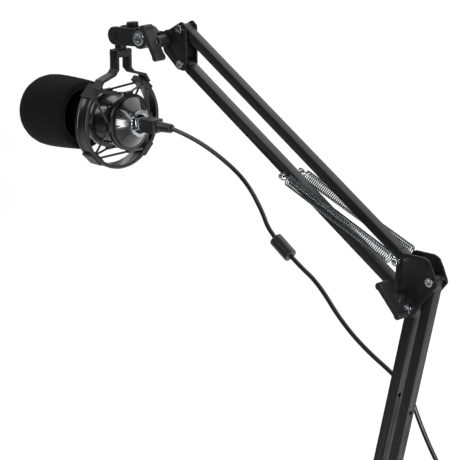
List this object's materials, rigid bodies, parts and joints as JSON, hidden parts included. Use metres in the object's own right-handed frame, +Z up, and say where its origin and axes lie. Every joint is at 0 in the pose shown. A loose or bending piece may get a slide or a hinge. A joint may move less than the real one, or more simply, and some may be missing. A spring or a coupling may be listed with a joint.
{
  "type": "condenser microphone",
  "caption": "Studio microphone with a foam windscreen in an elastic shock mount, hung from a clamp-on sprung scissor arm, with its USB cord.",
  "frame": {"origin": "on the table top under the upper jaw of the clamp, on the arm's swivel axis", "axes": "+Z up along the swivel axis; the arm folds in the plane Y = 0 with the microphone toward -X; the table lies toward +Y"},
  "size_m": [0.6652, 0.165, 0.7375],
  "materials": {
    "black_steel": "black powder coat, low sheen",
    "bright_steel": "bright nickel plate",
    "spring_steel": "bright drawn wire",
    "black_nylon": "moulded, fine grain",
    "black_gloss": "gloss black lacquer on an aluminium tube",
    "black_gloss_plastic": "gloss moulding",
    "dark_mesh": "black-coated wire mesh",
    "foam": "open-cell foam, fine grain",
    "elastic": "braided elastic",
    "cable_jacket": "satin PVC jacket",
    "capsule_gold": "gold-sputtered film on a brass ring",
    "board_green": "solder mask"
  },
  "bodies": {
    "clamp": {"table_clamp": "black_steel"},
    "swivel_lock": {"swivel_lock_screw": "black_nylon"},
    "clamp_foot": {"clamp_pad": "black_nylon"},
    "clamp_spindle": {"clamp_screw": "bright_steel", "clamp_tommy_bar": "bright_steel"},
    "base": {"swivel_foot": "black_steel", "base_plate_front": "black_steel", "base_plate_rear": "black_steel", "base_bolt_sets": "bright_steel", "base_spring_pin": "bright_steel", "lower_springs": "spring_steel"},
    "left_bar": {"lower_bar_left": "black_steel", "lower_bar_left_end_plugs": "black_nylon", "lower_spring_bar_pin": "bright_steel"},
    "right_bar": {"lower_bar_right": "black_steel", "lower_bar_right_end_plugs": "black_nylon"},
    "elbow": {"elbow_plate_front": "black_steel", "elbow_plate_rear": "black_steel", "elbow_bolt_sets": "bright_steel", "elbow_spring_pin": "bright_steel", "elbow_knob_bolt": "bright_steel", "upper_springs": "spring_steel"},
    "elbow_knob": {"elbow_wing_knob": "black_nylon"},
    "bottom_bar": {"upper_bar_bottom": "black_steel", "upper_bar_bottom_end_plugs": "black_nylon", "upper_spring_bar_pin": "bright_steel"},
    "top_bar": {"upper_bar_top": "black_steel", "upper_bar_top_end_plugs": "black_nylon"},
    "head": {"head_plate_front": "black_steel", "head_plate_rear": "black_steel", "head_bolt_sets": "bright_steel", "head_knob_bolt": "bright_steel"},
    "head_knob": {"head_wing_knob": "black_nylon"},
    "stud": {"tilt_stud": "bright_steel"},
    "block": {"swivel_block": "black_nylon", "swivel_cap": "bright_steel", "yoke_hinge_pin": "bright_steel"},
    "block_knob": {"swivel_block_knob": "black_nylon"},
    "yoke": {"yoke_hanger": "black_nylon", "yoke_bolt": "bright_steel", "yoke_arms": "black_nylon", "ring_clips": "black_nylon", "shock_ring": "black_nylon"},
    "microphone": {"inner_basket": "black_gloss_plastic", "mic_barrel": "black_gloss", "mic_tail_cone": "black_gloss", "usb_socket_ring": "bright_steel", "usb_b_socket": "bright_steel", "mic_grille": "dark_mesh", "condenser_capsule": "capsule_gold", "circuit_board": "board_green", "elastic_cords": "elastic", "usb_b_plug_shell": "bright_steel", "usb_b_plug": "cable_jacket", "usb_cable": "cable_jacket", "ferrite_bead": "black_nylon", "cable_coil": "cable_jacket", "usb_a_plug": "cable_jacket", "usb_a_plug_shell": "bright_steel"},
    "windscreen": {"foam_windscreen": "foam"}
  },
  "joints": [
    {"name": "base_swivel", "type": "hinge", "parent": "clamp", "child": "base", "pos_m": [0, 0, 0.042], "axis": [0, 0, 1], "continuous": true},
    {"name": "swivel_lock_turn", "type": "hinge", "parent": "clamp", "child": "swivel_lock", "pos_m": [0.02, 0, 0.024], "axis": [1, 0, 0], "continuous": true},
    {"name": "clamp_foot_travel", "type": "slide", "parent": "clamp", "child": "clamp_foot", "axis": [0, 0, 1], "range_m": [-0.028, 0.022]},
    {"name": "clamp_screw_turn", "type": "hinge", "parent": "clamp_foot", "child": "clamp_spindle", "pos_m": [0, 0, -0.06], "axis": [0, 0, 1], "range_deg": [-6720, 5280]},
    {"name": "lower_arm_lift", "type": "hinge", "parent": "base", "child": "left_bar", "pos_m": [-0.0148, 0, 0.06], "axis": [0, 1, 0], "range_deg": [-50, 8], "deforming": ["lower_springs", "usb_cable", "ferrite_bead", "cable_coil", "usb_a_plug", "usb_a_plug_shell"]},
    {"name": "right_bar_turn", "type": "hinge", "parent": "base", "child": "right_bar", "pos_m": [0.0093, 0, 0.0907], "axis": [0, 1, 0], "range_deg": [-50, 8]},
    {"name": "elbow_level", "type": "hinge", "parent": "left_bar", "child": "elbow", "pos_m": [0.05971, 0, 0.39583], "axis": [0, 1, 0], "range_deg": [-8, 50]},
    {"name": "upper_arm_lift", "type": "hinge", "parent": "elbow", "child": "bottom_bar", "pos_m": [0.05001, 0, 0.40443], "axis": [0, 1, 0], "range_deg": [-60, 34], "deforming": ["upper_springs"]},
    {"name": "top_bar_turn", "type": "hinge", "parent": "elbow", "child": "top_bar", "pos_m": [0.04921, 0, 0.43903], "axis": [0, 1, 0], "range_deg": [-60, 34]},
    {"name": "head_level", "type": "hinge", "parent": "bottom_bar", "child": "head", "pos_m": [-0.24614, 0, 0.57944], "axis": [0, 1, 0], "range_deg": [-34, 60]},
    {"name": "elbow_knob_turn", "type": "hinge", "parent": "elbow", "child": "elbow_knob", "pos_m": [0.05001, -0.02, 0.40443], "axis": [0, 1, 0], "continuous": true},
    {"name": "head_knob_turn", "type": "hinge", "parent": "head", "child": "head_knob", "pos_m": [-0.26604, -0.02, 0.60044], "axis": [0, 1, 0], "continuous": true},
    {"name": "microphone_tilt", "type": "hinge", "parent": "head", "child": "stud", "pos_m": [-0.26604, 0, 0.60044], "axis": [0, -1, 0], "range_deg": [-25, 25]},
    {"name": "microphone_roll", "type": "hinge", "parent": "stud", "child": "block", "pos_m": [-0.30595, 0, 0.59765], "axis": [-0.9976, 0, -0.0698], "range_deg": [-60, 60]},
    {"name": "block_knob_turn", "type": "hinge", "parent": "block", "child": "block_knob", "pos_m": [-0.32759, 0, 0.60616], "axis": [-0.0698, 0, 0.9976], "continuous": true},
    {"name": "yoke_tilt", "type": "hinge", "parent": "block", "child": "yoke", "pos_m": [-0.34724, 0, 0.59476], "axis": [0, 1, 0], "range_deg": [-25, 20]},
    {"name": "suspension_bounce", "type": "slide", "parent": "yoke", "child": "microphone", "axis": [0, 0, 1], "range_m": [-0.004, 0.004], "stiffness_N_per_m": 2500, "springref_m": 0.00172, "deforming": ["elastic_cords"]},
    {"name": "windscreen_pull", "type": "slide", "parent": "microphone", "child": "windscreen", "axis": [-0.9957, -0.0871, -0.0314], "range_m": [0, 0.095]}
  ],
  "couplings": [
    {"joint": "right_bar_turn", "follows": "lower_arm_lift", "ratio": 1},
    {"joint": "elbow_level", "follows": "lower_arm_lift", "ratio": -1},
    {"joint": "top_bar_turn", "follows": "upper_arm_lift", "ratio": 1},
    {"joint": "head_level", "follows": "upper_arm_lift", "ratio": -1},
    {"joint": "clamp_foot_travel", "follows": "clamp_screw_turn", "m_per_rad": 0.00023873}
  ]
}
